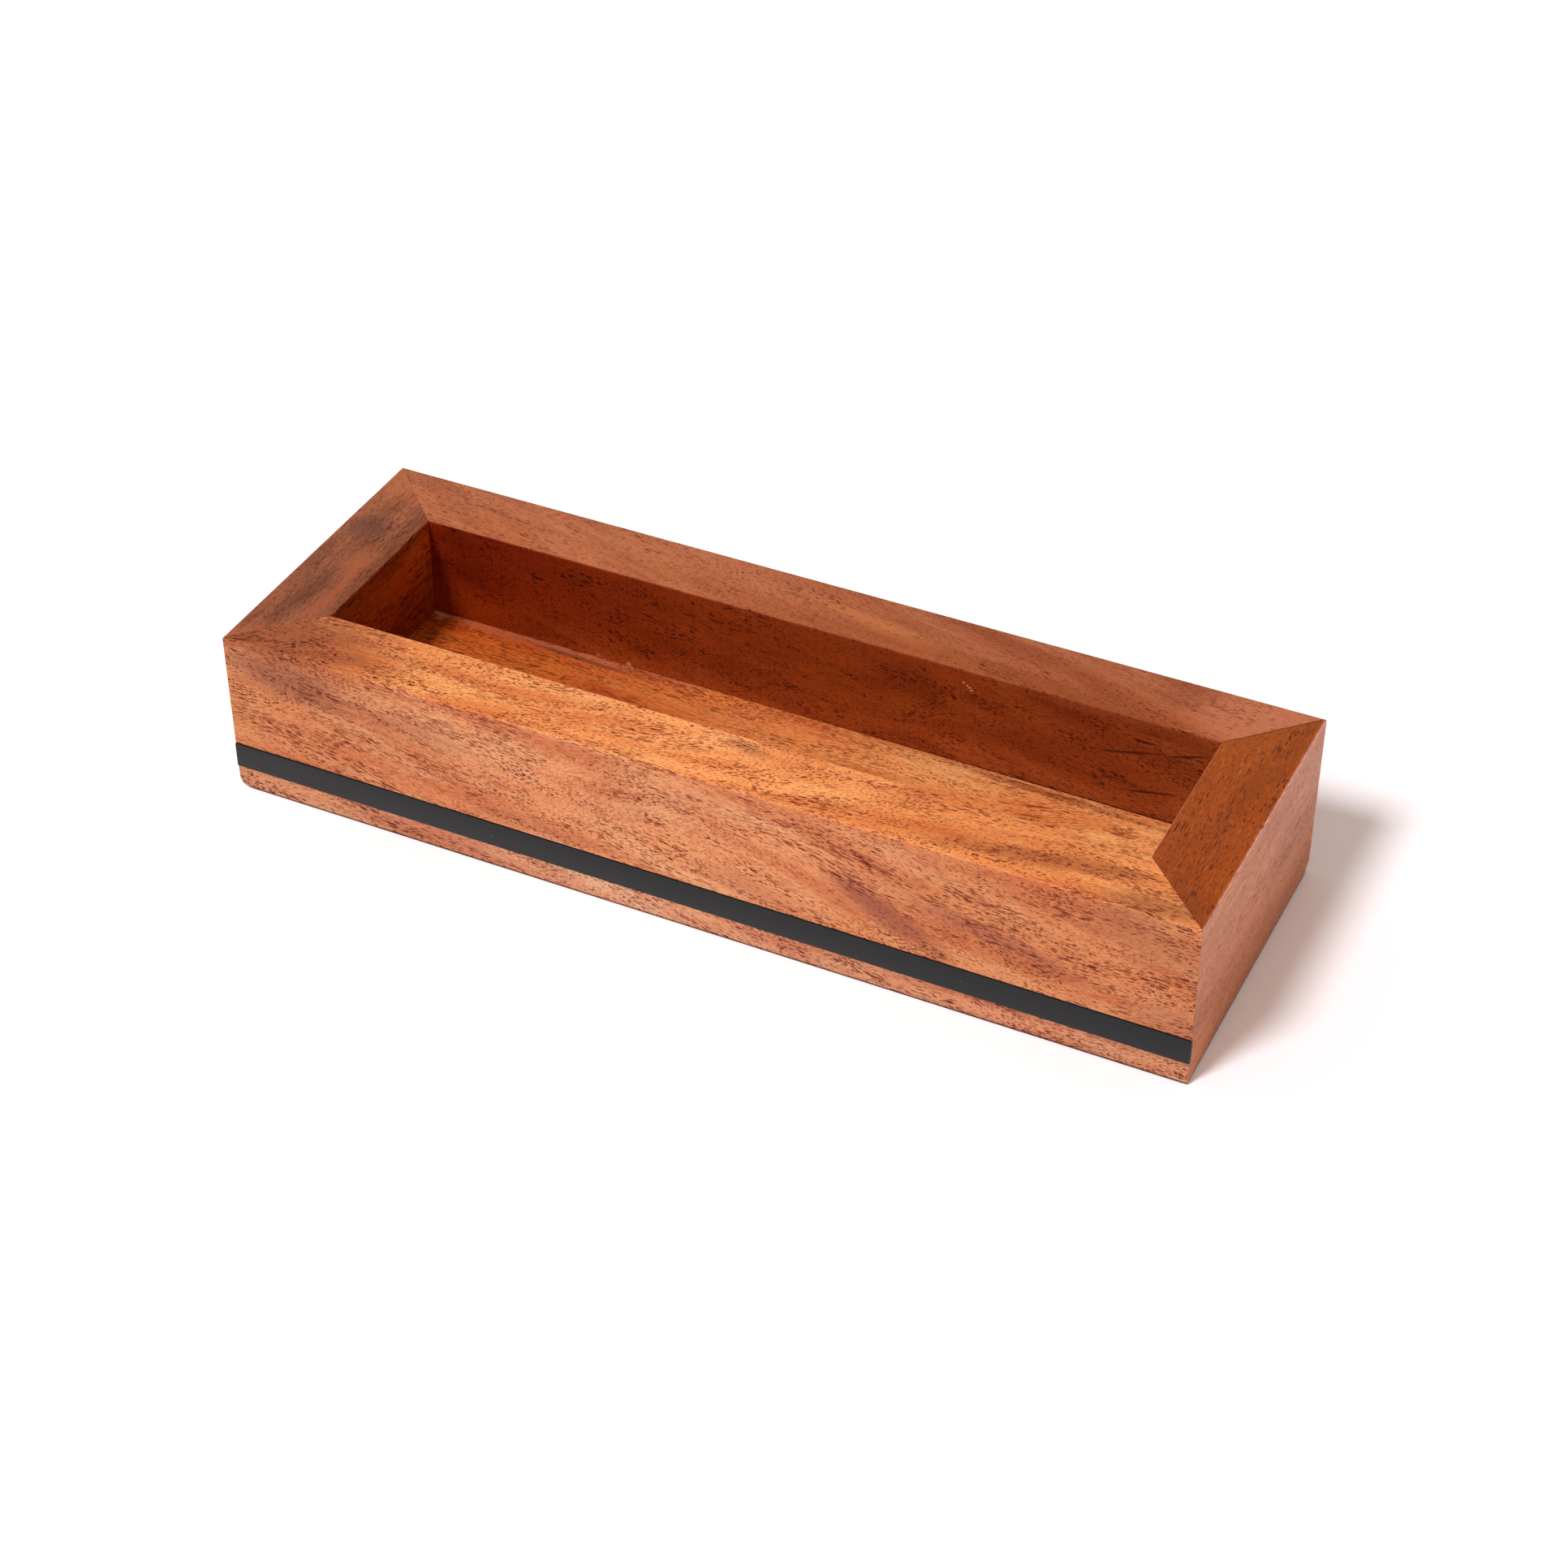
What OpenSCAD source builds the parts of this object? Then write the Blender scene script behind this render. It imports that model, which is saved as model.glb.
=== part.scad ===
// Open desk tray for fountain pens: four mitred boards stand around a floor
// panel held in their grooves, with a dark band let into the front board.
// Millimetres. X runs along the tray, -Y is its front and +Z is up. The
// origin is the middle of the base, and the base lies on Z = 0.

/* [Tray] */
// Length over the outside of the end boards
tray_l = 250; // [180:1:400]
// Depth over the outside of the front and back boards
tray_d = 84; // [78:1:200]
// Height of the boards
tray_h = 45.5; // [38:0.5:80]
// Thickness of the boards, from 3/4 inch stock
board_t = 19.05; // [16:0.05:25]
// Thickness of the glue in each mitre
glue_line = 0.1; // [0.04:0.02:0.2]

/* [Edges] */
// Radius of the outer top arrises
rim_ease = 0.6; // [0.2:0.1:2]
// Radius of the inner top arrises
mouth_ease = 0.4; // [0.2:0.1:2]
// Radius of the arrises that stand on the table
foot_ease = 0.6; // [0.2:0.1:2]
// Radius of the upright corners
corner_ease = 0.3; // [0.2:0.1:1]

/* [Floor] */
// Thickness of the floor panel
floor_t = 6; // [4:0.5:9]
// Height of the floor panel's underside
floor_z = 12; // [4:0.5:16]
// Depth of the floor grooves in the boards
groove_depth = 6; // [4:0.5:8]
// Room for the panel to swell at the bottom of each groove
swell_gap = 0.3; // [0.1:0.1:0.6]
// Clearance over the panel in its grooves
groove_fit = 0.1; // [0.05:0.05:0.3]

/* [Band] */
// Height of the band
band_h = 6.8; // [3:0.1:12]
// Height of the band's lower edge
band_z = 6.6; // [2:0.1:16]
// Thickness of the band
band_t = 2.5; // [1:0.1:4]
// How far the band stands out of the front board
band_proud = 0.3; // [0:0.1:0.8]
// Gap over the band and at its ends
band_gap = 0.25; // [0.05:0.05:0.5]

/* [Corner splines] */
// Thickness of each spline
spline_t = 3; // [2:0.5:4]
// Width of each spline across its mitre
spline_w = 10; // [6:0.5:12]
// Distance from each spline to the top and the base
spline_stop = 8; // [5:0.5:12]
// Clearance around each spline in its slot
spline_fit = 0.1; // [0.05:0.05:0.2]
// Wood between the floor grooves and each spline's slot
spline_land = 2; // [1:0.5:3]

/* [Hidden] */
$fn = 48;

// How far a cutter runs past the face that it opens
past = 1;
// The inside of the tray
inside_l = tray_l - 2 * board_t;
inside_d = tray_d - 2 * board_t;
// The floor panel, which reaches into all four grooves
panel_reach = groove_depth - swell_gap;
panel_l = inside_l + 2 * panel_reach;
panel_d = inside_d + 2 * panel_reach;
// The band's groove
band_groove_depth = band_t - band_proud;
band_groove_h = band_h + band_gap;
// A spline's middle, measured from the tray's inner corner along the mitre
spline_out = groove_depth * sqrt(2) + spline_land + spline_fit + spline_t / 2;
spline_h = tray_h - 2 * spline_stop;

light_wood = [0.78, 0.48, 0.32];
brown_wood = [0.62, 0.33, 0.18];
floor_wood = [0.76, 0.42, 0.18];
charcoal = [0.16, 0.155, 0.155];
pale_wood = [0.80, 0.68, 0.50];

// What a round of radius r leaves over in a square corner at the origin
module arris_waste(r) {
    difference() {
        translate([-past, -past]) square(r + past);
        translate([r, r]) circle(r);
    }
}

// Section of a board: its outer face is at 0 and its inner face at board_t
module board_section() {
    difference() {
        square([board_t, tray_h]);
        arris_waste(foot_ease);
        translate([0, tray_h]) mirror([0, 1]) arris_waste(rim_ease);
        translate([board_t, tray_h]) rotate(180) arris_waste(mouth_ease);
        translate([board_t - groove_depth, floor_z]) square([groove_depth + past, floor_t + groove_fit]);
    }
}

// Plan of a board whose ends are mitred, set back by half of the glue line
module mitred_plan(run, out) {
    tip = run / 2 - glue_line / sqrt(2);
    difference() {
        polygon([
            [-tip, -out], [tip, -out],
            [tip - board_t, board_t - out], [board_t - tip, board_t - out]
        ]);
        translate([run / 2, -out]) mirror([1, 0]) arris_waste(corner_ease);
        translate([-run / 2, -out]) arris_waste(corner_ease);
    }
}

// A slot for one spline, or the spline itself when the clearance is nothing
module spline_block(side, back, clearance) {
    translate([side * inside_l / 2, back * inside_d / 2, spline_stop - clearance])
        rotate(side * back * 45)
        translate([side * spline_out, 0, 0])
        translate([-spline_t / 2 - clearance, -spline_w / 2 - clearance, 0])
        cube([spline_t + 2 * clearance, spline_w + 2 * clearance, spline_h + 2 * clearance]);
}

// A board with its outer face at -out on Y and its ends at -run/2 and run/2
module board(run, out) {
    intersection() {
        translate([-run / 2, -out, 0]) rotate([90, 0, 90]) linear_extrude(run) board_section();
        linear_extrude(tray_h) mitred_plan(run, out);
    }
}

module spline_slots() {
    for (side = [-1, 1], back = [-1, 1]) spline_block(side, back, spline_fit);
}

module front_wall() {
    color(light_wood)
    difference() {
        board(tray_l, tray_d / 2);
        translate([-tray_l / 2 - past, -tray_d / 2 - past, band_z])
            cube([tray_l + 2 * past, band_groove_depth + past, band_groove_h]);
        spline_slots();
    }
}

module back_wall() {
    color(brown_wood)
    difference() {
        rotate(180) board(tray_l, tray_d / 2);
        spline_slots();
    }
}

module left_wall() {
    color(brown_wood)
    difference() {
        rotate(-90) board(tray_d, tray_l / 2);
        spline_slots();
    }
}

module right_wall() {
    color(brown_wood)
    difference() {
        rotate(90) board(tray_d, tray_l / 2);
        spline_slots();
    }
}

module floor_panel() {
    color(floor_wood)
    translate([-panel_l / 2, -panel_d / 2, floor_z]) cube([panel_l, panel_d, floor_t]);
}

// The band's ends are mitred too, so that they clear the end boards
module front_band() {
    face_y = -tray_d / 2 - band_proud;
    half_face = tray_l / 2 + band_proud - band_gap - glue_line / sqrt(2);
    color(charcoal)
    translate([0, 0, band_z])
        linear_extrude(band_h)
        polygon([
            [-half_face, face_y], [half_face, face_y],
            [half_face - band_t, face_y + band_t], [band_t - half_face, face_y + band_t]
        ]);
}

module spline_front_left() { color(pale_wood) spline_block(-1, -1, 0); }
module spline_front_right() { color(pale_wood) spline_block(1, -1, 0); }
module spline_back_left() { color(pale_wood) spline_block(-1, 1, 0); }
module spline_back_right() { color(pale_wood) spline_block(1, 1, 0); }

front_wall();
back_wall();
left_wall();
right_wall();
floor_panel();
front_band();
spline_front_left();
spline_front_right();
spline_back_left();
spline_back_right();
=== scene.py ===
"""Dresses the desk pen tray: four mitred boards, an inset floor and a charcoal band."""

import math

import bmesh
import bpy
from mathutils import Matrix, Vector


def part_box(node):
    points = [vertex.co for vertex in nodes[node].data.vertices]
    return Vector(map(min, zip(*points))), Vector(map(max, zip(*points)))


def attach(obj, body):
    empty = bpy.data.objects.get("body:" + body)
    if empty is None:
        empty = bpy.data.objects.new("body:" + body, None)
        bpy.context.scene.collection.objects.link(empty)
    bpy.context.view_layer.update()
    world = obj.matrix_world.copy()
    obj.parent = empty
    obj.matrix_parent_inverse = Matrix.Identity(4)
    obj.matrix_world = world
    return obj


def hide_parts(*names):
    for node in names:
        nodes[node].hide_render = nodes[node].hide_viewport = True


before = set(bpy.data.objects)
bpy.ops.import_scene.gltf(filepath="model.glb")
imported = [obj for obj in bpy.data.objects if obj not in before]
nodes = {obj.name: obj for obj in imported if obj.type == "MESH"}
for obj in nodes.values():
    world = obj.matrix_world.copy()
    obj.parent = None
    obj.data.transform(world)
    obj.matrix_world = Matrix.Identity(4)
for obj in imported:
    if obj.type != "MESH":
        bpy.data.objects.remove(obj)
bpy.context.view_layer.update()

MM = 0.001

# sizes that the frame holds, in mm
HALF_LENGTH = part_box("right_wall")[1].x / MM
HALF_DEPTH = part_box("back_wall")[1].y / MM
RIM_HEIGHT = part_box("back_wall")[1].z / MM
FLOOR_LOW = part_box("floor_panel")[0].z / MM
FLOOR_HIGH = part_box("floor_panel")[1].z / MM
BAND_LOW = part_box("front_band")[0].z / MM
BAND_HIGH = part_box("front_band")[1].z / MM

# boards, in mm: how thick they are, how far the mitres stand back, how deep the grooves are and
# the play in them, how round the edges are and how far they wander
BOARD = 19.05
SET_BACK = 0.015
FLOOR_GROOVE = 6.0
FLOOR_GAP = 0.1
BAND_GROOVE = 2.2
BAND_GAP = 0.25
ARRIS = 0.6
INNER_ARRIS = 0.4
RIPPLE = 0.06

# band, in mm: how far it passes each end of the tray, and how wide its eased edges are
BAND_OVERHANG = 0.08
BAND_EDGE = 0.12

AT_X, AT_Y, AT_Z = (1, 0, 0), (0, 1, 0), (0, 0, 1)


# ---------------------------------------------------------------- the view

def set_camera():
    lens = bpy.data.cameras.new("view")
    lens.lens = 75.30
    lens.sensor_width = 36.0
    lens.clip_start = 0.01
    camera = bpy.data.objects.new("view", lens)
    bpy.context.scene.collection.objects.link(camera)
    camera.location = (0.275913, -0.562545, 0.505035)
    aim = Vector((-0.341458, 0.708726, -0.617344))
    camera.rotation_mode = "QUATERNION"
    camera.rotation_quaternion = aim.to_track_quat("-Z", "Y")
    bpy.context.scene.camera = camera


# ---------------------------------------------------------------- node shorthand

def linear(value):
    value = value / 255.0
    if value <= 0.04045:
        return value / 12.92
    return ((value + 0.055) / 1.055) ** 2.4


def shade(red, green, blue):
    """A colour as a paint chart gives it, 0 to 255."""
    return (linear(red), linear(green), linear(blue), 1.0)


class Nodes:
    """A node tree, with short ways to add its nodes."""

    def __init__(self, tree):
        self.tree = tree

    def add(self, kind, **settings):
        made = self.tree.nodes.new(kind)
        for key, value in settings.items():
            setattr(made, key, value)
        return made

    def feed(self, socket, value):
        if isinstance(value, bpy.types.NodeSocket):
            self.tree.links.new(value, socket)
        else:
            socket.default_value = value

    def calc(self, operation, first, second=0.0, third=0.0, clamp=False):
        made = self.add("ShaderNodeMath", operation=operation, use_clamp=clamp)
        for socket, value in zip(made.inputs, (first, second, third)):
            self.feed(socket, value)
        return made.outputs[0]

    def vector(self, operation, first, second):
        made = self.add("ShaderNodeVectorMath", operation=operation)
        self.feed(made.inputs[0], first)
        self.feed(made.inputs[1], second)
        return made.outputs[0]

    def scale(self, vector, factor):
        made = self.add("ShaderNodeVectorMath", operation="SCALE")
        self.feed(made.inputs[0], vector)
        self.feed(made.inputs["Scale"], factor)
        return made.outputs[0]

    def along(self, place, toward):
        """How far a place lies in a direction."""
        return self.vector("DOT_PRODUCT", place, toward).node.outputs["Value"]

    def split(self, vector):
        made = self.add("ShaderNodeSeparateXYZ")
        self.feed(made.inputs[0], vector)
        return made.outputs

    def join(self, x, y, z):
        made = self.add("ShaderNodeCombineXYZ")
        for socket, value in zip(made.inputs, (x, y, z)):
            self.feed(socket, value)
        return made.outputs[0]

    def between(self, value, low, high, start=0.0, end=1.0):
        """Runs smoothly from start at low to end at high."""
        made = self.add("ShaderNodeMapRange", interpolation_type="SMOOTHSTEP")
        for socket, given in zip(made.inputs, (value, low, high, start, end)):
            self.feed(socket, given)
        return made.outputs[0]


class Finish(Nodes):
    """One material."""

    def __init__(self, name):
        self.material = bpy.data.materials.new(name)
        self.material.use_nodes = True
        super().__init__(self.material.node_tree)
        self.tree.nodes.clear()

    def place_in_mm(self):
        """Object coordinates in mm."""
        return self.scale(self.add("ShaderNodeTexCoord").outputs["Object"], 1.0 / MM)

    def mix(self, share, first, second, how="MIX"):
        made = self.add("ShaderNodeMix", data_type="RGBA", blend_type=how)
        self.feed(made.inputs[0], share)
        self.feed(made.inputs[6], first)
        self.feed(made.inputs[7], second)
        return made.outputs[2]

    def stretch(self, where, cell, shift=(0.0, 0.0, 0.0)):
        """Coordinates in cells of the given size, in mm along, across and deep."""
        made = self.add("ShaderNodeMapping")
        self.feed(made.inputs[0], where)
        self.feed(made.inputs[1], shift)
        self.feed(made.inputs[3], tuple(1.0 / size for size in cell))
        return made.outputs[0]

    def noise(self, where, cell, detail=2.0, rough=0.5, shift=(0.0, 0.0, 0.0)):
        """The value of a noise in cells of the given size, in mm."""
        made = self.add("ShaderNodeTexNoise", noise_dimensions="3D")
        self.feed(made.inputs["Vector"], self.stretch(where, cell, shift))
        self.feed(made.inputs["Scale"], 1.0)
        self.feed(made.inputs["Detail"], detail)
        self.feed(made.inputs["Roughness"], rough)
        return made.outputs[0]

    def cells(self, where, cell):
        made = self.add("ShaderNodeTexVoronoi", feature="F1", voronoi_dimensions="3D")
        self.feed(made.inputs["Vector"], self.stretch(where, cell))
        self.feed(made.inputs["Scale"], 1.0)
        return made

    def bump(self, strength, depth, height):
        made = self.add("ShaderNodeBump")
        self.feed(made.inputs["Strength"], strength)
        self.feed(made.inputs["Distance"], depth * MM)
        self.feed(made.inputs["Height"], height)
        return made.outputs[0]

    def close(self, shader):
        out = self.add("ShaderNodeOutputMaterial")
        self.feed(out.inputs["Surface"], shader)
        return self.material


# ---------------------------------------------------------------- wood

# layers of noise: cell size in mm along, across and deep, then detail, roughness and shift
DRIFT = ((70.0, 24.0, 24.0), 1.5, 0.4)
BANDS = ((60.0, 9.0, 9.0), 3.0, 0.6)
CLOUDS = ((40.0, 8.0, 8.0), 3.0, 0.55, (5.0, 2.0, 8.0))
STREAKS = ((17.0, 0.9, 0.9), 3.0, 0.65)
HAIRS = ((38.0, 0.55, 0.55), 2.0, 0.6, (2.0, 6.0, 1.0))
FIBRES = ((1.5, 0.20, 0.20), 1.0, 0.5)
RAGS = ((16.0, 1.6, 1.6), 3.0, 0.65)
CROWDS = ((22.0, 4.0, 4.0), 2.0, 0.6, (3.1, 1.7, 0.4))
KINDS = ((30.0, 7.0, 7.0), 1.0, 0.5, (8.1, 0.3, 5.9))

# pores: cell size in mm along, across and deep, and their reach as a share of a cell
DASH, DOT, LINE, FLECK = (2.6, 0.37, 0.37), (1.3, 0.35, 0.35), (10.0, 0.62, 0.62), (3.0, 0.42, 0.42)
PORE_REACH = 0.42
FLECK_REACH = 0.36
INDOOR_DARKNESS = 0.98

# surface: its roughness, how much rougher a pore is and how deep in mm, and the oil's index
SKIN_ROUGHNESS = 0.55
PORE_ROUGHNESS = 0.25
PORE_DEPTH = 0.06
OIL_IOR = 1.45

SEAM = shade(52, 24, 16)
FIBRE_SHADE = shade(196, 160, 140)
FLECK_GLINT = (1.9, 1.8, 2.3, 1.0)


def grain_axes(f, along):
    """Places in mm, and the same turned so that the first axis runs along the grain."""
    place = f.place_in_mm()
    if along == "x":
        return place, place
    x, y, z = f.split(place)
    return place, f.join(y, x, z)


def blot(f, place, ragged, centre, reach, turn, about):
    """A patch that frays along the grain, 1 at its centre: centre and reach in mm."""
    made = f.add("ShaderNodeMapping", vector_type="TEXTURE")
    axis = {"x": AT_X, "y": AT_Y, "z": AT_Z}[about]
    f.feed(made.inputs[0], place)
    f.feed(made.inputs[1], centre)
    f.feed(made.inputs[2], tuple(math.radians(turn) * part for part in axis))
    f.feed(made.inputs[3], reach)
    ball = f.add("ShaderNodeTexGradient", gradient_type="SPHERICAL")
    f.feed(ball.inputs[0], made.outputs[0])
    inside = f.between(ball.outputs[1], 0.0, 0.25)
    frayed = f.calc("ADD", ball.outputs[1], ragged)
    return f.calc("MULTIPLY", inside, f.between(frayed, 0.05, 0.75))


def tilt(f, grain, middle, slopes):
    """Grain coordinates whose rows climb across and deep.

    slopes are the slope across all along, the slope that is added around the middle of the
    board, and the slope deep.
    """
    swell_length = 45.0
    along, across, deep = f.split(grain)
    run = f.calc("SUBTRACT", along, middle)
    swell = f.calc("TANH", f.calc("DIVIDE", run, swell_length))
    rise = f.calc("MULTIPLY_ADD", run, -slopes[0], deep)
    return f.join(along, f.calc("MULTIPLY_ADD", run, -slopes[2], across),
                  f.calc("MULTIPLY_ADD", swell, -swell_length * slopes[1], rise))


def pores(f, run, cell, reach, crowd, missing, least):
    """Dashes as long as a cell: a share is missing, and their sizes vary down to least."""
    spots = f.cells(run, cell)
    pick = f.add("ShaderNodeSeparateColor")
    f.feed(pick.inputs[0], spots.outputs["Color"])
    size = f.between(pick.outputs[0], missing, missing + 0.02, 0.0, reach)
    size = f.calc("MULTIPLY", size, f.between(pick.outputs[1], 0.0, 1.0, least, 1.15))
    size = f.calc("MULTIPLY", size, crowd)
    depth = f.calc("SUBTRACT", size, spots.outputs["Distance"])
    dark = f.between(depth, -0.02, 0.05)
    return f.calc("MULTIPLY", dark, f.between(pick.outputs[2], 0.0, 1.0, 0.55, 1.0))


def from_outside(f, x, y):
    """How far a place lies in from the end faces and from the long faces."""
    return (f.calc("SUBTRACT", HALF_LENGTH, f.calc("ABSOLUTE", x)),
            f.calc("SUBTRACT", HALF_DEPTH, f.calc("ABSOLUTE", y)))


def inside_box(f, place):
    """1 on the faces that line the box above its floor and 0 elsewhere."""
    x, y, z = f.split(place)
    from_end, from_side = from_outside(f, x, y)
    nearest = f.calc("MINIMUM", from_end, from_side)
    above = f.between(z, FLOOR_LOW + 1.0, FLOOR_LOW + 3.0)
    return f.calc("MULTIPLY", above, f.between(nearest, BOARD - 0.45, BOARD - 0.05))


def mitre_seam(f, place):
    """1 on the mitre joints and 0 off them: those at the left and the front are tighter."""
    x, y, _ = f.split(place)
    from_end, from_side = from_outside(f, x, y)
    apart = f.calc("ABSOLUTE", f.calc("SUBTRACT", from_end, from_side))
    close = f.between(apart, 0.34, 0.10)
    broken = f.noise(place, (2.2, 2.2, 2.2), 2.0, 0.6)
    close = f.calc("MULTIPLY", close, f.between(broken, 0.30, 0.60, 0.35, 1.0))
    inboard = f.between(f.calc("ADD", from_end, from_side), 0.6, 2.4)
    close = f.calc("MULTIPLY", close, inboard)
    close = f.calc("MULTIPLY", close, f.between(x, -60.0, 60.0, 0.15, 1.0))
    return f.calc("MULTIPLY", close, f.between(y, -10.0, 10.0, 0.5, 1.0))


def wood_tone(f, fibre_run, band_run, colours, threads):
    """Broad bands, soft clouds, streaks, hairs and fibres: the tone, and the fibres alone."""
    deep, body, pale = colours
    bands = f.noise(band_run, *BANDS)
    clouds = f.noise(band_run, *CLOUDS)
    streaks = f.noise(fibre_run, *STREAKS)
    hairs = f.noise(fibre_run, *HAIRS)
    fibres = f.noise(fibre_run, *FIBRES)
    tone = f.mix(f.between(bands, 0.34, 0.60), deep, body)
    tone = f.mix(f.between(clouds, 0.44, 0.70, 0.0, 0.70), tone, pale)
    tone = f.mix(f.between(streaks, 0.52, 0.30, 0.0, 0.45), tone, deep)
    tone = f.mix(f.between(hairs, 0.42 + 0.08 * threads, 0.30, 0.0, 0.55), tone, deep)
    tone = f.mix(f.between(fibres, 0.50, 0.30, 0.0, 0.75), tone, FIBRE_SHADE, "MULTIPLY")
    tone = f.mix(f.between(fibres, 0.50, 0.72, 0.0, 0.30), tone, pale)
    return tone, fibres


def wood(name, along, deep, body, pale, pore, slip, sway=7.0, lean=(0.0, 0.0, 0.0),
         slant=(0.0, 0.0, 0.0), crowding=(0.36, 0.60), pore_share=0.92, face_pores=1.0,
         indoor_pores=1.0, sparse=0.0, threads=0.0, fleck=0.0, shine=0.35, seam_share=0.7,
         patches=(), washes=(), indoor_shade_and_light=()):
    """Oiled open-pored hardwood.

    along is the axis of the grain. deep, body and pale are its tones, and pore is what they are
    multiplied by in a pore. slip picks where in the log the board was cut, and sway is how far
    the grain wanders, in mm. lean tilts the fibres and slant tilts the colour bands.

    pore_share is how dark the pores are, and face_pores scales it off the rim. indoor_pores
    makes the pores inside the box larger. crowding is where they crowd, sparse is the share
    that is missing, threads adds long ones, and fleck adds bright flecks.

    patches are soft marks of their own colour. washes multiply the tone past a height or a
    depth, and some of them paint shade, sheen or a highlight. The indoor washes act on the inside
    of the box alone and paint its shade and the light bounced into it.
    """
    f = Finish(name)
    place, grain = grain_axes(f, along)
    grain = f.vector("ADD", grain, slip)
    drift = f.noise(grain, *DRIFT).node.outputs["Color"]
    drift = f.vector("SUBTRACT", drift, (0.5, 0.5, 0.5))
    drift = f.vector("MULTIPLY", drift, (0.0, 2.0 * sway, 2.0 * sway))
    grain = f.vector("ADD", grain, drift)
    fibre_run = tilt(f, grain, slip[0], lean)
    band_run = tilt(f, grain, slip[0], slant)
    tone, fibres = wood_tone(f, fibre_run, band_run, (deep, body, pale), threads)

    for toward, low, high, colour in washes:
        tone = f.mix(f.between(f.along(place, toward), low, high), tone, colour, "MULTIPLY")
    inside = inside_box(f, place) if indoor_shade_and_light or indoor_pores != 1.0 else None
    # the indoor washes paint the shade inside the box and the light bounced into it
    for toward, low, high, colour in indoor_shade_and_light:
        share = f.calc("MULTIPLY", f.between(f.along(place, toward), low, high), inside)
        tone = f.mix(share, tone, colour, "MULTIPLY")

    ragged = f.calc("MULTIPLY_ADD", f.noise(fibre_run, *RAGS), 0.9, -0.45)
    for share, colour, centre, reach, turn, about in patches:
        spot = blot(f, place, ragged, centre, reach, turn, about)
        tone = f.mix(f.calc("MULTIPLY", spot, share), tone, colour)
    tone = f.mix(f.calc("MULTIPLY", mitre_seam(f, place), seam_share), tone, SEAM)

    # pores: dashes in some places and dots in others, crowded along slanting bands
    crowd = f.between(f.noise(band_run, *CROWDS), crowding[0], crowding[1], 0.58, 1.12)
    on_rim = f.between(f.along(place, AT_Z), RIM_HEIGHT - 0.8, RIM_HEIGHT - 0.2)
    darkness = f.calc("MULTIPLY_ADD", on_rim, pore_share * (1.0 - face_pores),
                      pore_share * face_pores)
    if indoor_pores != 1.0:
        larger = f.calc("MULTIPLY_ADD", inside, indoor_pores - 1.0, 1.0)
        crowd = f.calc("MULTIPLY", crowd, larger)
        darkness = f.calc("MULTIPLY_ADD", inside, INDOOR_DARKNESS - pore_share, pore_share)
    kind = f.noise(band_run, *KINDS)
    longer = f.calc("MULTIPLY", crowd, f.between(kind, 0.40, 0.56, 0.62, 1.0))
    shorter = f.calc("MULTIPLY", crowd, f.between(kind, 0.40, 0.56, 1.0, 0.62))
    dash = pores(f, fibre_run, DASH, PORE_REACH, longer, 0.10 + sparse, 0.80)
    dot = pores(f, fibre_run, DOT, PORE_REACH, shorter, 0.20 + sparse, 0.75)
    line = pores(f, fibre_run, LINE, (0.68 + 0.2 * threads) * PORE_REACH, longer,
                 0.45 - 0.35 * threads, 0.65)
    open_pore = f.calc("MAXIMUM", f.calc("MAXIMUM", dash, dot), line)
    tone = f.mix(f.calc("MULTIPLY", open_pore, darkness), tone, pore, "MULTIPLY")
    if fleck:
        aside = f.vector("ADD", fibre_run, (9.0, 4.0, 6.0))
        dust = pores(f, aside, FLECK, FLECK_REACH, 1.0, 0.50, 0.7)
        share = f.calc("MULTIPLY_ADD", on_rim, 0.7 * fleck, 0.3 * fleck)
        tone = f.mix(f.calc("MULTIPLY", dust, share), tone, FLECK_GLINT, "MULTIPLY")

    raised = f.calc("MULTIPLY_ADD", fibres, 0.25, f.calc("MULTIPLY", open_pore, -1.0))
    skin = f.add("ShaderNodeBsdfPrincipled")
    f.feed(skin.inputs["Base Color"], tone)
    rough = f.calc("MULTIPLY_ADD", open_pore, PORE_ROUGHNESS, SKIN_ROUGHNESS)
    f.feed(skin.inputs["Roughness"], rough)
    f.feed(skin.inputs["Normal"], f.bump(0.5, PORE_DEPTH, raised))
    skin.inputs["IOR"].default_value = OIL_IOR
    skin.inputs["Specular IOR Level"].default_value = shine
    return f.close(skin.outputs[0])


def band_plastic():
    """Smooth charcoal strip with the faintest grain of its own."""
    f = Finish("charcoal_band")
    place = f.place_in_mm()
    cloud = f.noise(place, (30.0, 6.0, 6.0))
    tone = f.mix(f.between(cloud, 0.3, 0.7), shade(12, 18, 21), shade(18, 22, 25))
    grit = f.noise(place, (0.35, 0.35, 0.35))
    dust = f.cells(place, (11.0, 5.0, 5.0)).outputs["Distance"]
    tone = f.mix(f.between(dust, 0.022, 0.012, 0.0, 0.5), tone, shade(150, 146, 146))
    skin = f.add("ShaderNodeBsdfPrincipled")
    f.feed(skin.inputs["Base Color"], tone)
    f.feed(skin.inputs["Roughness"], f.between(cloud, 0.3, 0.7, 0.52, 0.6))
    f.feed(skin.inputs["Normal"], f.bump(0.25, 0.02, grit))
    skin.inputs["Specular IOR Level"].default_value = 0.36
    return f.close(skin.outputs[0])


# ---------------------------------------------------------------- studio

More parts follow.
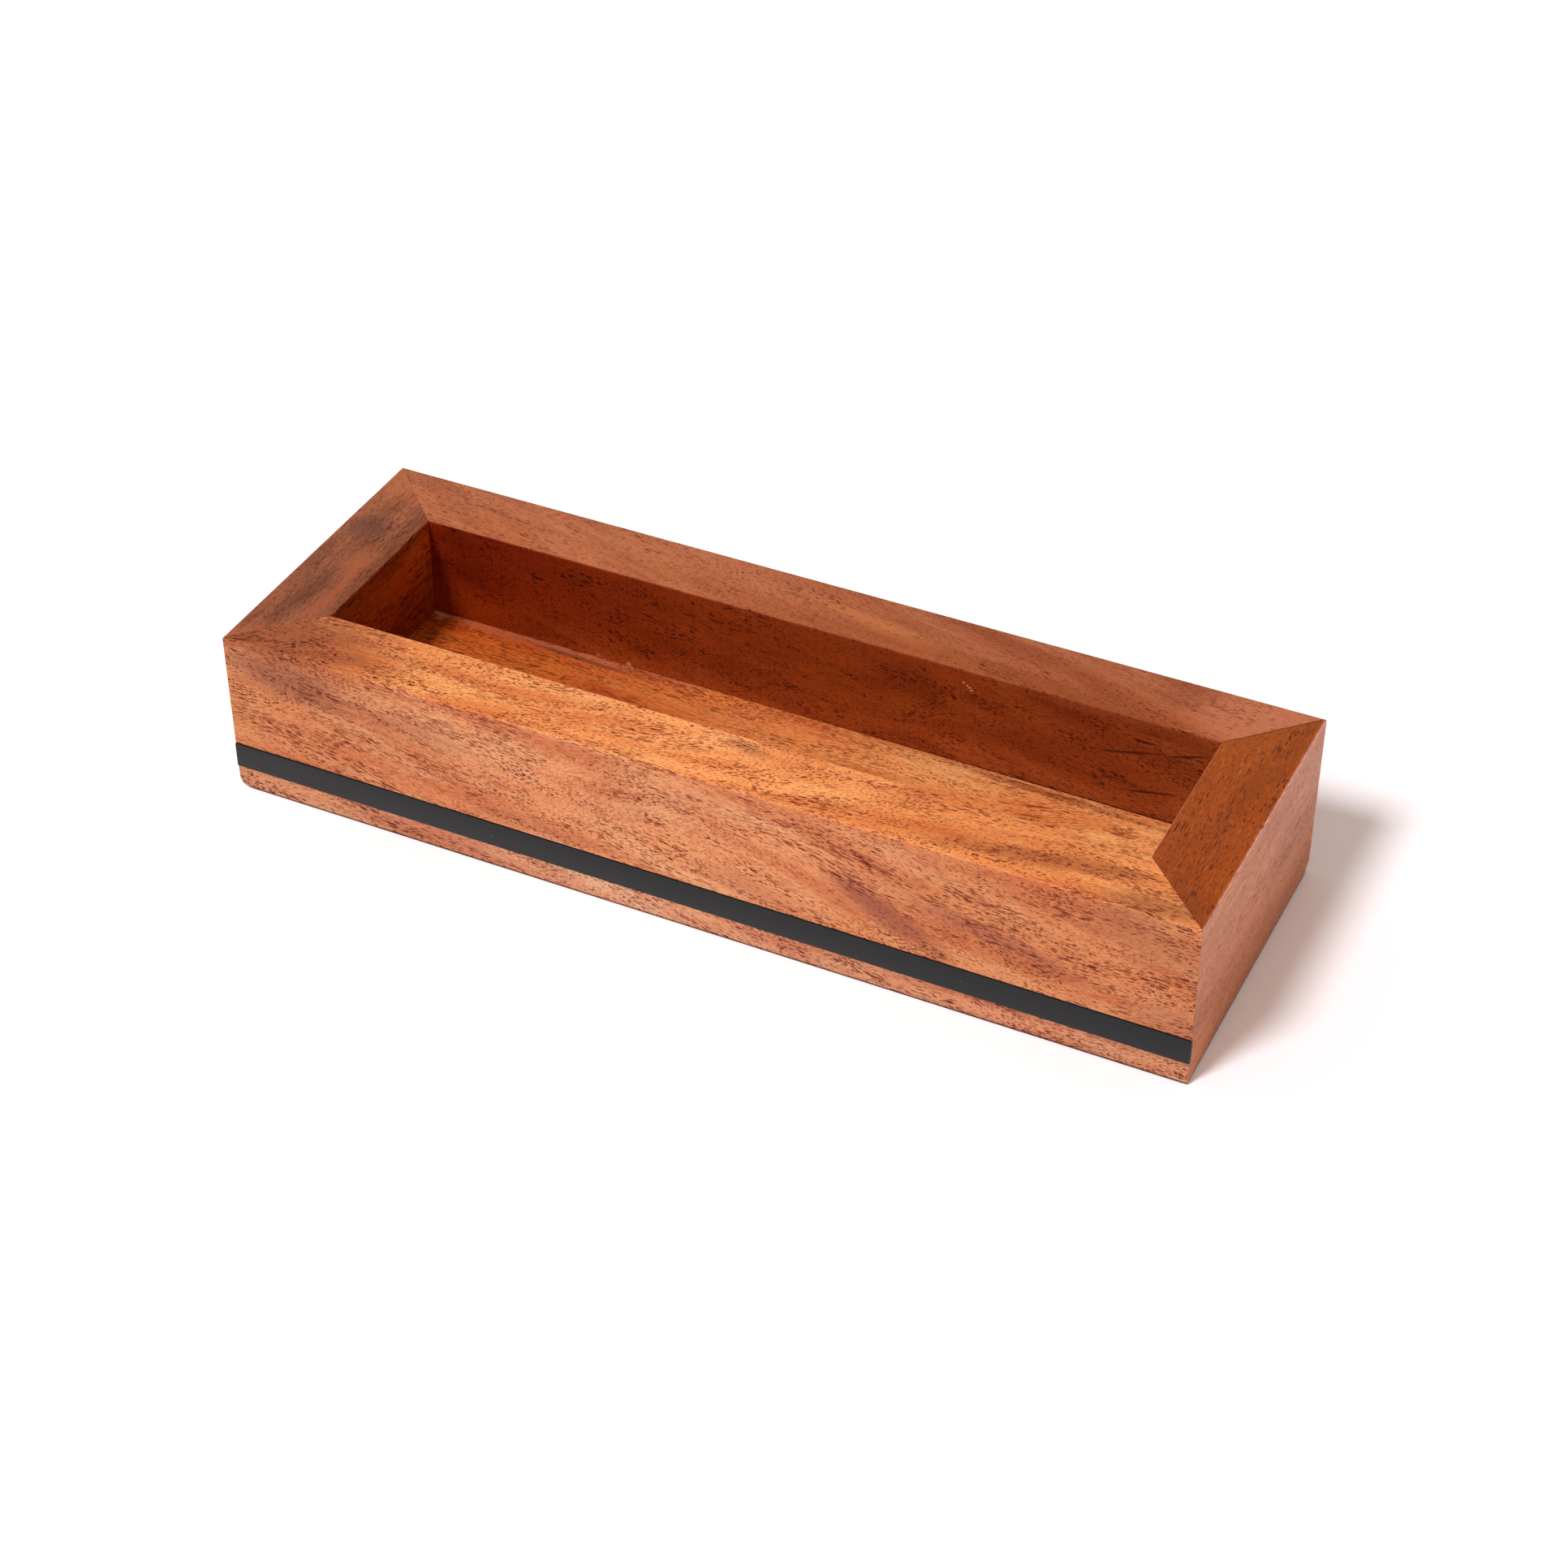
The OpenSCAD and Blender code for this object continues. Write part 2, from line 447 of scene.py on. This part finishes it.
def set_studio():
    """A pale warm room, one soft lamp from the front left, and a white table."""
    world = bpy.data.worlds.new("studio")
    bpy.context.scene.world = world
    world.use_nodes = True
    room = Nodes(world.node_tree)
    room.tree.nodes.clear()
    height = room.split(room.add("ShaderNodeTexCoord").outputs["Generated"])[2]
    sky = room.add("ShaderNodeBackground")
    room.feed(sky.inputs["Strength"], room.between(height, 0.10, 0.62, 1.0, 0.40))
    sky.inputs["Color"].default_value = (1.0, 0.83, 0.75, 1)
    room.feed(room.add("ShaderNodeOutputWorld").inputs[0], sky.outputs[0])

    swing = math.radians(24.0)
    rise = math.radians(53.0)
    toward = Vector((-math.sin(swing) * math.cos(rise),
                     -math.cos(swing) * math.cos(rise), math.sin(rise)))
    lamp = bpy.data.lights.new("soft_box", "SUN")
    lamp.angle = math.radians(14.0)
    lamp.energy = 0.63 * math.pi / math.sin(rise)
    lamp.color = (0.98, 1.0, 1.09)
    box = bpy.data.objects.new("soft_box", lamp)
    bpy.context.scene.collection.objects.link(box)
    box.location = toward
    box.rotation_mode = "QUATERNION"
    box.rotation_quaternion = (-toward).to_track_quat("-Z", "Y")

    reach = 4
    corners = [(-reach, -reach, 0), (reach, -reach, 0), (reach, reach, 0), (-reach, reach, 0)]
    mesh = bpy.data.meshes.new("table")
    mesh.from_pydata(corners, [], [(0, 1, 2, 3)])
    table = bpy.data.objects.new("table", mesh)
    bpy.context.scene.collection.objects.link(table)
    mesh.materials.append(white_table(toward))


def white_table(toward):
    """Matt white that glows a little to the eye, more on the lamp's side of the tray."""
    shadow_side, lamp_side = -18.0 * MM, 15.0 * MM
    f = Finish("white_table")
    matt = f.add("ShaderNodeBsdfDiffuse")
    matt.inputs["Color"].default_value = (0.97, 0.96, 0.95, 1)
    glow = f.add("ShaderNodeEmission")
    ray = f.add("ShaderNodeLightPath").outputs
    seen = f.calc("ADD", ray["Is Camera Ray"], ray["Is Glossy Ray"])
    seen = f.calc("ADD", seen, ray["Is Transmission Ray"], clamp=True)
    side = f.along(f.add("ShaderNodeTexCoord").outputs["Object"], toward)
    # the glow is brighter on the lamp's side and fainter on the shadow side: painted light that
    # deepens the tray's shadow
    brighter = f.between(side, shadow_side, lamp_side, 0.75, 1.45)
    f.feed(glow.inputs["Strength"], f.calc("MULTIPLY", seen, brighter))
    # its warm tint is painted bounce light from the wood in the shadow
    glow.inputs["Color"].default_value = (0.09, 0.075, 0.07, 1)
    both = f.add("ShaderNodeAddShader")
    f.feed(both.inputs[0], matt.outputs[0])
    f.feed(both.inputs[1], glow.outputs[0])
    return f.close(both.outputs[0])


# ---------------------------------------------------------------- boards

def round_corner(centre, radius, start, steps=4):
    """Points of a quarter round, in mm, from start degrees on."""
    points = []
    for step in range(steps + 1):
        angle = math.radians(start - 90.0 * step / steps)
        points.append((centre[0] + radius * math.cos(angle), centre[1] + radius * math.sin(angle)))
    return points


def board_section(out, band_groove):
    """The section of a board, in mm: outer face at -out, inner face a board's thickness in."""
    floor_top = FLOOR_HIGH + FLOOR_GAP
    band_top = BAND_HIGH + BAND_GAP
    below_band, above_band, rows = 3.0, 8.0, (16.0, 24.0, 32.0, 40.0)
    points = round_corner((ARRIS, ARRIS), ARRIS, 270.0)
    if band_groove:
        points += [(0.0, below_band), (0.0, BAND_LOW), (BAND_GROOVE, BAND_LOW)]
        points += [(BAND_GROOVE, band_top), (0.0, band_top)]
    else:
        points += [(0.0, below_band), (0.0, above_band)]
    points += [(0.0, height) for height in rows]
    points += round_corner((ARRIS, RIM_HEIGHT - ARRIS), ARRIS, 180.0)
    points += round_corner((BOARD - INNER_ARRIS, RIM_HEIGHT - INNER_ARRIS), INNER_ARRIS, 90.0)
    points += [(BOARD, floor_top), (BOARD - FLOOR_GROOVE, floor_top)]
    points += [(BOARD - FLOOR_GROOVE, FLOOR_LOW), (BOARD, FLOOR_LOW), (BOARD, 0.0)]
    return [(across - out, height) for across, height in points]


def board_tree():
    """Sweeps a section along X, mitres both ends and wears the outer bottom corners."""
    g = Nodes(bpy.data.node_groups.new("mitred_board", "GeometryNodeTree"))
    inputs = {"Section": "Geometry", "Run": "Float", "Out": "Float", "Steps": "Int",
              "Wear near": "Float", "Wear far": "Float", "Ripple": "Float", "Finish": "Material"}
    face = g.tree.interface
    for name, kind in inputs.items():
        face.new_socket(name, in_out="INPUT", socket_type="NodeSocket" + kind)
    face.new_socket("Board", in_out="OUTPUT", socket_type="NodeSocketGeometry")
    given = g.add("NodeGroupInput").outputs

    def here():
        return g.split(g.add("GeometryNodeInputPosition").outputs[0])

    half = g.calc("MULTIPLY", given["Run"], 0.5)
    path = g.add("GeometryNodeCurvePrimitiveLine")
    g.feed(path.inputs["Start"], g.join(g.calc("MULTIPLY", half, -1.0), 0.0, 0.0))
    g.feed(path.inputs["End"], g.join(half, 0.0, 0.0))
    evenly = g.add("GeometryNodeResampleCurve")
    g.feed(evenly.inputs["Curve"], path.outputs[0])
    g.feed(evenly.inputs["Count"], given["Steps"])
    outline = g.add("GeometryNodeMeshToCurve")
    g.feed(outline.inputs["Mesh"], given["Section"])
    swept = g.add("GeometryNodeCurveToMesh")
    g.feed(swept.inputs["Curve"], evenly.outputs[0])
    g.feed(swept.inputs["Profile Curve"], outline.outputs[0])
    swept.inputs["Fill Caps"].default_value = True

    # mitres: each row is as long as its distance from the outer face leaves it
    x, y, z = here()
    depth = g.calc("ADD", y, given["Out"])
    left_over = g.calc("SUBTRACT", g.calc("SUBTRACT", half, SET_BACK * MM), depth)
    mitred = g.add("GeometryNodeSetPosition")
    g.feed(mitred.inputs["Geometry"], swept.outputs[0])
    shorter = g.calc("MULTIPLY", x, g.calc("DIVIDE", left_over, half))
    g.feed(mitred.inputs["Position"], g.join(shorter, y, z))

    # wear: the outer bottom corners are knocked round, each end by its own amount
    wear_reach = 3.2 * MM
    x, y, z = here()
    from_end = g.calc("SUBTRACT", half, g.calc("ABSOLUTE", x))
    depth = g.calc("ADD", y, given["Out"])
    to_edge = g.calc("ADD", g.calc("POWER", from_end, 2.0), g.calc("POWER", depth, 2.0))
    to_foot = g.calc("SQRT", g.calc("ADD", to_edge, g.calc("POWER", z, 2.0)))
    knocked = g.calc("SUBTRACT", 1.0, g.calc("DIVIDE", to_foot, wear_reach), clamp=True)
    far = g.calc("GREATER_THAN", x, 0.0)
    more = g.calc("SUBTRACT", given["Wear far"], given["Wear near"])
    wear = g.calc("MULTIPLY_ADD", far, more, given["Wear near"])
    inward = g.calc("MULTIPLY", g.calc("POWER", knocked, 1.6), wear)
    sideways = g.calc("MULTIPLY", g.calc("MULTIPLY", g.calc("SIGN", x), inward), -1.0)
    worn = g.add("GeometryNodeSetPosition")
    g.feed(worn.inputs["Geometry"], mitred.outputs[0])
    g.feed(worn.inputs["Offset"], g.join(sideways, inward, g.calc("MULTIPLY", inward, 0.8)))

    # ripple: the arrises wander by a few hundredths, as sanding leaves them
    waver = g.add("ShaderNodeTexNoise")
    g.feed(waver.inputs["Vector"], g.add("GeometryNodeInputPosition").outputs[0])
    waver.inputs["Scale"].default_value = 160.0
    centred = g.vector("SUBTRACT", waver.outputs["Color"], (0.5, 0.5, 1.0))
    arris = g.add("GeometryNodeInputNamedAttribute", data_type="FLOAT")
    arris.inputs["Name"].default_value = "arris"
    amount = g.calc("MULTIPLY", arris.outputs[0], given["Ripple"])
    _, aside, lower = g.split(g.scale(centred, amount))
    x, y, z = here()
    off_ends = g.calc("LESS_THAN", g.calc("ABSOLUTE", x), g.calc("SUBTRACT", half, 1.0 * MM))
    at_rim = g.calc("GREATER_THAN", z, 10.0 * MM)
    wavered = g.add("GeometryNodeSetPosition")
    g.feed(wavered.inputs["Geometry"], worn.outputs[0])
    g.feed(wavered.inputs["Selection"], off_ends)
    g.feed(wavered.inputs["Offset"], g.join(0.0, aside, g.calc("MULTIPLY", lower, at_rim)))

    whole = g.add("GeometryNodeRealizeInstances")
    g.feed(whole.inputs[0], wavered.outputs[0])
    finished = g.add("GeometryNodeSetMaterial")
    g.feed(finished.inputs["Geometry"], whole.outputs[0])
    g.feed(finished.inputs["Material"], given["Finish"])
    g.feed(g.add("NodeGroupOutput").inputs[0], finished.outputs[0])
    return g.tree


def make_board(name, node, run, out, turn, wear, material, band_groove=False):
    """One board for a CAD wall: run and out in mm, and how worn its two bottom corners are."""
    arris_reach = 0.7
    section = board_section(out, band_groove)
    mesh = bpy.data.meshes.new(name + "_section")
    ring = [(-across * MM, -height * MM, 0.0) for across, height in section]
    mesh.from_pydata(ring, [(i, (i + 1) % len(ring)) for i in range(len(ring))], [])
    arris = mesh.attributes.new("arris", "FLOAT", "POINT")
    arris.data.foreach_set("value", [
        1.0 if height > RIM_HEIGHT - arris_reach or height < arris_reach else 0.0
        for _, height in section])
    holder = bpy.data.objects.new(name + "_section", mesh)
    bpy.context.scene.collection.objects.link(holder)
    sweep = holder.modifiers.new("sweep", "NODES")
    sweep.node_group = BOARD_TREE
    sockets = {item.name: item.identifier for item in BOARD_TREE.interface.items_tree}
    values = {"Run": run * MM, "Out": out * MM, "Steps": int(run) + 1, "Wear near": wear[0] * MM,
              "Wear far": wear[1] * MM, "Ripple": RIPPLE * MM, "Finish": material}
    for key, value in values.items():
        sweep[sockets[key]] = value
    bpy.context.view_layer.update()
    solid = bpy.data.meshes.new_from_object(
        holder.evaluated_get(bpy.context.evaluated_depsgraph_get()))
    bpy.data.objects.remove(holder)
    solid.name = name
    solid.transform(Matrix.Rotation(math.radians(turn), 4, "Z"))
    face_out(solid)
    board = bpy.data.objects.new(name, solid)
    bpy.context.scene.collection.objects.link(board)
    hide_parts(node)
    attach(board, "root")
    return board


def make_band(material):
    """The strip in the front face: its ends show at the corners, and its edges are eased."""
    end_depth = 1.0 * MM
    front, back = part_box("front_band")[0].y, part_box("front_band")[1].y
    end = (HALF_LENGTH + BAND_OVERHANG) * MM
    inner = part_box("front_band")[1].x - (back - front)
    plan = [(-end, front), (end, front), (end, front + end_depth), (inner, back), (-inner, back),
            (-end, front + end_depth)]
    shape = bmesh.new()
    low = [shape.verts.new((x, y, BAND_LOW * MM)) for x, y in plan]
    shape.faces.new(low)
    lifted = bmesh.ops.extrude_face_region(shape, geom=list(shape.faces))["geom"]
    lifted = [part for part in lifted if isinstance(part, bmesh.types.BMVert)]
    bmesh.ops.translate(shape, verts=lifted, vec=(0, 0, (BAND_HIGH - BAND_LOW) * MM))
    bmesh.ops.recalc_face_normals(shape, faces=shape.faces)
    bmesh.ops.bevel(shape, geom=list(shape.edges), offset=BAND_EDGE * MM, segments=2, profile=0.5,
                    affect="EDGES")
    mesh = bpy.data.meshes.new("charcoal_strip")
    shape.to_mesh(mesh)
    shape.free()
    face_out(mesh)
    mesh.materials.append(material)
    strip = bpy.data.objects.new("charcoal_strip", mesh)
    bpy.context.scene.collection.objects.link(strip)
    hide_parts("front_band")
    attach(strip, "root")


def face_out(mesh):
    """Joins doubled points, turns the faces outwards and smooths all but the sharp edges."""
    shape = bmesh.new()
    shape.from_mesh(mesh)
    bmesh.ops.remove_doubles(shape, verts=shape.verts, dist=1e-6)
    bmesh.ops.recalc_face_normals(shape, faces=shape.faces)
    shape.to_mesh(mesh)
    shape.free()
    mesh.polygons.foreach_set("use_smooth", [True] * len(mesh.polygons))
    mesh.set_sharp_from_angle(angle=math.radians(32.0))


def dress(node, material):
    mesh = nodes[node].data
    mesh.materials.clear()
    mesh.materials.append(material)


# ---------------------------------------------------------------- marks and colours

# the faces that the marks lie on, in mm
RIM_TOP = 45.5
FRONT_FACE = -42.0
BACK_INNER_FACE = 22.95
FLOOR_TOP = 18.0

# the first colour is painted shade along the bottom edge of each board, where it meets the table;
# the others are pore colours
PAINTED_FOOT_SHADE = shade(110, 80, 72)
DARK_PORE = shade(128, 70, 50)
BROWN_PORE = shade(160, 116, 96)
REDDISH_PORE = shade(138, 90, 70)

# washes: a direction, and where along it they start and where they are full, in mm
# ON_RIM and UNDER_RIM set the rim apart from the face under it, the rim more golden and the face
# pinker: partly a painted difference in sheen
ON_RIM = (AT_Z, RIM_HEIGHT - 0.45, RIM_HEIGHT - 0.04)
UNDER_RIM = (AT_Z, RIM_HEIGHT - 0.04, RIM_HEIGHT - 0.45)
# ON_RIGHT_RIM turns the right rim dark orange: partly its own tone and partly painted, the rim's
# missing sheen beside the face's sheen
ON_RIGHT_RIM = (AT_Z, RIM_HEIGHT - 0.25, RIM_HEIGHT - 0.02)
# this wash pales the right rim's outer arris: a painted highlight, on top of the light that the
# rounded edge catches
RIGHT_ARRIS_HIGHLIGHT = ((1, 0, 1), HALF_LENGTH + RIM_HEIGHT - 0.95, HALF_LENGTH + RIM_HEIGHT - 0.5)
ABOVE_BAND = (AT_Z, BAND_LOW - 0.2, BAND_HIGH + 0.2)
BELOW_BAND = (AT_Z, BAND_LOW - 0.2, BAND_LOW - 0.6)
# FOOT darkens the last mm above the table: painted shade
FOOT = (AT_Z, 1.0, 0.5)
WHOLE_BOARD = (AT_Z, -10.0, 0.0)
FLOOR_BACK_EDGE = ((0.004, 1.0, 0.0), 22.80, 23.10)


# patches: share, colour, middle and reach in mm, then turn in degrees

def rim_patch(share, colour, x, y, long, wide, turn=0.0):
    return share, shade(*colour), (x, y, RIM_TOP), (long, wide, 4.0), turn, "z"


def front_patch(share, colour, x, z, long, high, turn=0.0, deep=12.0):
    return share, shade(*colour), (x, FRONT_FACE, z), (long, deep, high), turn, "y"


def inner_patch(share, colour, x, z, long, high, turn=0.0):
    return share, shade(*colour), (x, BACK_INNER_FACE, z), (long, 1.0, high), turn, "y"


def floor_patch(share, colour, x, y, long, wide, turn=0.0, deep=2.0):
    return share, shade(*colour), (x, y, FLOOR_TOP), (long, wide, deep), turn, "z"


def front_wood():
    """Light orange brown, darker at its ends and in slanting bands, golden along the rim and pinker
    below it, which is partly painted sheen.
    """
    patches = (
        front_patch(0.65, (128, 72, 52), -108.0, 38.0, 28.0, 9.0, 6.0),
        front_patch(0.40, (150, 86, 60), -72.0, 34.0, 24.0, 5.0, 8.0),
        front_patch(0.70, (136, 70, 54), 50.0, 23.0, 24.0, 5.0, 24.0),
        front_patch(0.60, (146, 80, 62), 76.0, 26.0, 32.0, 3.5, 11.0),
        front_patch(0.40, (140, 80, 56), 114.0, 38.0, 26.0, 10.0, 8.0),
        front_patch(0.20, (136, 76, 54), -36.0, 16.5, 34.0, 4.0, 2.0, deep=8.0),
        front_patch(0.35, (146, 80, 58), 16.0, 18.0, 24.0, 5.0, 10.0),
        front_patch(0.40, (146, 80, 56), 122.0, 17.0, 18.0, 7.0),
        front_patch(0.45, (230, 158, 118), 80.0, 3.4, 30.0, 3.0, deep=8.0),
        rim_patch(0.90, (150, 80, 48), -124.0, -36.0, 58.0, 26.0),
        rim_patch(0.60, (156, 84, 44), 86.0, -34.0, 42.0, 4.5, 9.0),
        rim_patch(0.45, (140, 76, 40), 8.0, -26.5, 9.0, 3.0, -8.0),
        rim_patch(0.55, (134, 70, 40), 114.0, -38.5, 22.0, 6.0, 4.0),
    )
    washes = (
        # the first two washes paint the golden rim and the pinker face, partly painted sheen
        (*ON_RIM, shade(255, 251, 236)),
        (*UNDER_RIM, shade(220, 222, 241)),
        (*ABOVE_BAND, shade(255, 245, 222)),
        (AT_X, 16.0, 66.0, shade(242, 234, 226)),
        (AT_X, -40.0, -125.0, shade(238, 226, 214)),
        (*BELOW_BAND, shade(247, 255, 255)),
        (*FOOT, PAINTED_FOOT_SHADE),
    )
    return wood(
        "light_front_wood", "x", shade(222, 132, 84), shade(250, 172, 117), shade(255, 194, 142),
        DARK_PORE, (40.0, 13.0, 7.0), lean=(-0.04, -0.16, 0.05), slant=(-0.06, -0.14, 0.1),
        shine=0.2, pore_share=1.0, patches=patches, washes=washes)


def back_wood():
    """Pinkish brown, with dark streaks and specks of glue; redder and darker inside the box, which
    is painted shade, with painted bounce light low on the inner face.
    """
    streaks = ((84.0, 35.2, 12.0, -14.0), (98.5, 38.6, 9.5, -18.0), (87.8, 39.3, 5.0, -3.0),
               (89.6, 25.1, 10.0, -12.0))
    specks = ((41.3, 41.9), (42.2, 41.3), (42.9, 40.9), (43.4, 40.2))
    patches = (
        rim_patch(0.50, (146, 70, 36), 62.0, 34.0, 46.0, 5.0, -14.0),
        rim_patch(0.40, (214, 132, 72), 20.0, 30.0, 30.0, 4.0, -12.0),
        rim_patch(0.60, (204, 126, 88), 112.0, 34.5, 26.0, 16.0),
        rim_patch(0.55, (140, 68, 34), 52.0, 26.0, 70.0, 5.0, -3.0),
        *[inner_patch(0.90, (64, 22, 10), x, z, reach, 0.5, turn) for x, z, reach, turn in streaks],
        inner_patch(0.55, (176, 106, 78), -58.0, 18.7, 1.3, 1.4),
        inner_patch(0.80, (206, 136, 104), -49.5, 18.7, 1.2, 1.0),
        *[inner_patch(0.85, (206, 150, 110), x, z, 0.5, 0.4) for x, z in specks],
    )
    washes = (
        (AT_X, -60.0, 10.0, shade(237, 226, 218)),
        (AT_Y, 36.0, 27.0, shade(248, 238, 226)),
        (*FOOT, PAINTED_FOOT_SHADE),
    )
    # painted shade and light inside the box: darker and redder overall, darker to the left and
    # toward the top, lighter by the left corner, low on the left near the floor and at the right
    # end
    indoor_shade_and_light = (
        (*WHOLE_BOARD, shade(252, 224, 176)),
        (AT_X, 20.0, -100.0, shade(210, 144, 70)),
        (AT_X, 90.0, -20.0, shade(252, 247, 214)),
        (AT_X, -60.0, 10.0, (1.04, 1.07, 1.09, 1.0)),
        (AT_X, -106.0, -98.0, shade(228, 216, 216)),
        (AT_Z, 21.0, 30.0, shade(238, 228, 204)),
        (AT_Z, 28.0, 42.0, shade(240, 232, 232)),
        (AT_X, 76.0, 100.0, (1.03, 1.2, 1.3, 1.0)),
        ((-0.15, 0.0, -1.0), -19.0, -8.0, (1.25, 1.6, 2.0, 1.0)),
    )
    return wood(
        "brown_back_wood", "x", shade(162, 93, 60), shade(187, 113, 74), shade(200, 129, 91),
        DARK_PORE, (-310.0, 55.0, 31.0), lean=(-0.1, 0.0, -0.2), slant=(-0.12, 0.0, -0.26),
        shine=0.1, crowding=(0.42, 0.66), sparse=0.36, pore_share=0.72, indoor_pores=1.12,
        patches=patches, washes=washes, indoor_shade_and_light=indoor_shade_and_light)


def left_wood():
    """Darker brown with grey-brown clouds and reddish marks."""
    patches = (
        rim_patch(0.60, (96, 60, 50), -118.0, 14.0, 9.0, 9.0),
        rim_patch(0.95, (182, 104, 66), -114.0, 42.0, 20.0, 20.0),
        rim_patch(0.75, (186, 106, 68), -112.0, -42.0, 24.0, 15.0),
        rim_patch(0.50, (176, 96, 60), -111.8, -1.0, 5.5, 13.0),
        rim_patch(0.45, (168, 84, 52), -110.6, -19.0, 3.4, 13.0),
        rim_patch(0.38, (98, 56, 38), -116.6, -15.0, 3.4, 15.0),
    )
    washes = ((*FOOT, PAINTED_FOOT_SHADE),)
    # painted shade on the inner face: deeper and redder overall, lighter toward the back corner
    indoor_shade_and_light = (
        (*WHOLE_BOARD, shade(255, 172, 62)),
        (AT_Y, 8.0, 20.0, (1.25, 1.4, 1.5, 1.0)),
    )
    return wood(
        "dark_left_wood", "y", shade(125, 73, 49), shade(159, 97, 63), shade(180, 112, 80),
        BROWN_PORE, (90.0, -40.0, 52.0), sway=3.5, shine=0.12, sparse=0.30, pore_share=0.62,
        indoor_pores=1.35, patches=patches, washes=washes, indoor_shade_and_light=indoor_shade_and_light)


def right_wood():
    """Pinkish on its outer face and dark orange with bright flecks on the rim; the difference
    between rim and face is partly painted sheen, and the face is darker toward the bottom, a
    painted reflection of the shadowed table.
    """
    patches = (rim_patch(0.40, (112, 50, 20), 117.0, -37.0, 11.0, 12.0),)
    washes = (
        (*ON_RIGHT_RIM, shade(190, 132, 27)),
        # darker toward the foot of the right face: a painted reflection of the shadowed table
        (AT_Z, 36.0, 10.0, shade(235, 219, 200)),
        (*RIGHT_ARRIS_HIGHLIGHT, (1.14, 1.32, 1.9, 1.0)),
        (AT_Y, -5.0, 30.0, (0.98, 1.07, 1.22, 1.0)),
        (*FOOT, PAINTED_FOOT_SHADE),
    )
    return wood(
        "red_right_wood", "y", shade(190, 123, 91), shade(209, 139, 101), shade(220, 153, 114),
        REDDISH_PORE, (210.0, 80.0, -12.0), sway=2.5, shine=0.3, fleck=0.6, sparse=0.60,
        pore_share=0.95, face_pores=0.6, patches=patches, washes=washes)


def floor_wood():
    """Golden, redder to the left, with dark lines and a pale mark at the back edge."""
    patches = (
        # the first patch is partly the floor's tone and partly painted light, lifting the left end
        # where the left wall's shadow falls
        floor_patch(0.45, (214, 112, 42), -84.0, 12.0, 40.0, 9.0, deep=3.0),
        floor_patch(0.45, (176, 104, 74), -70.0, 22.2, 60.0, 3.4),
        floor_patch(0.70, (240, 174, 136), -103.8, 22.3, 4.2, 1.3, -6.0),
        floor_patch(0.45, (240, 174, 136), -103.0, 20.9, 1.9, 1.9),
        floor_patch(0.60, (84, 44, 32), -62.0, 20.4, 26.0, 1.2, -3.0),
        floor_patch(0.50, (120, 60, 34), 66.0, 20.6, 50.0, 1.8, -2.0),
    )
    washes = (
        (AT_X, 90.0, -100.0, shade(206, 140, 78)),
        (*FLOOR_BACK_EDGE, shade(70, 44, 34)),
    )
    return wood(
        "golden_floor_wood", "x", shade(218, 123, 61), shade(253, 169, 98), shade(255, 196, 125),
        DARK_PORE, (-140.0, 30.0, 93.0), seam_share=0.0, shine=0.2, threads=0.5, pore_share=0.85,
        patches=patches, washes=washes)


# ---------------------------------------------------------------- the tray

set_camera()
set_studio()

BOARD_TREE = board_tree()
LENGTH, DEPTH = 2 * HALF_LENGTH, 2 * HALF_DEPTH
KNOCKED = 0.5

make_board("front_board", "front_wall", LENGTH, HALF_DEPTH, 0.0, (KNOCKED, 0.06), front_wood(),
           band_groove=True)
make_board("back_board", "back_wall", LENGTH, HALF_DEPTH, 180.0, (KNOCKED, 0.2), back_wood())
make_board("left_board", "left_wall", DEPTH, HALF_LENGTH, -90.0, (0.2, KNOCKED), left_wood())
make_board("right_board", "right_wall", DEPTH, HALF_LENGTH, 90.0, (0.06, KNOCKED), right_wood())
dress("floor_panel", floor_wood())
make_band(band_plastic())
spline_wood = wood(
    "spline_wood", "x", shade(150, 84, 50), shade(176, 108, 68), shade(196, 128, 84),
    DARK_PORE, (7.0, 3.0, 11.0), seam_share=0.0)
for corner in ("front_left", "front_right", "back_left", "back_right"):
    dress("spline_" + corner, spline_wood)

scene = bpy.context.scene
scene.view_settings.view_transform = "Standard"
bpy.context.view_layer.update()
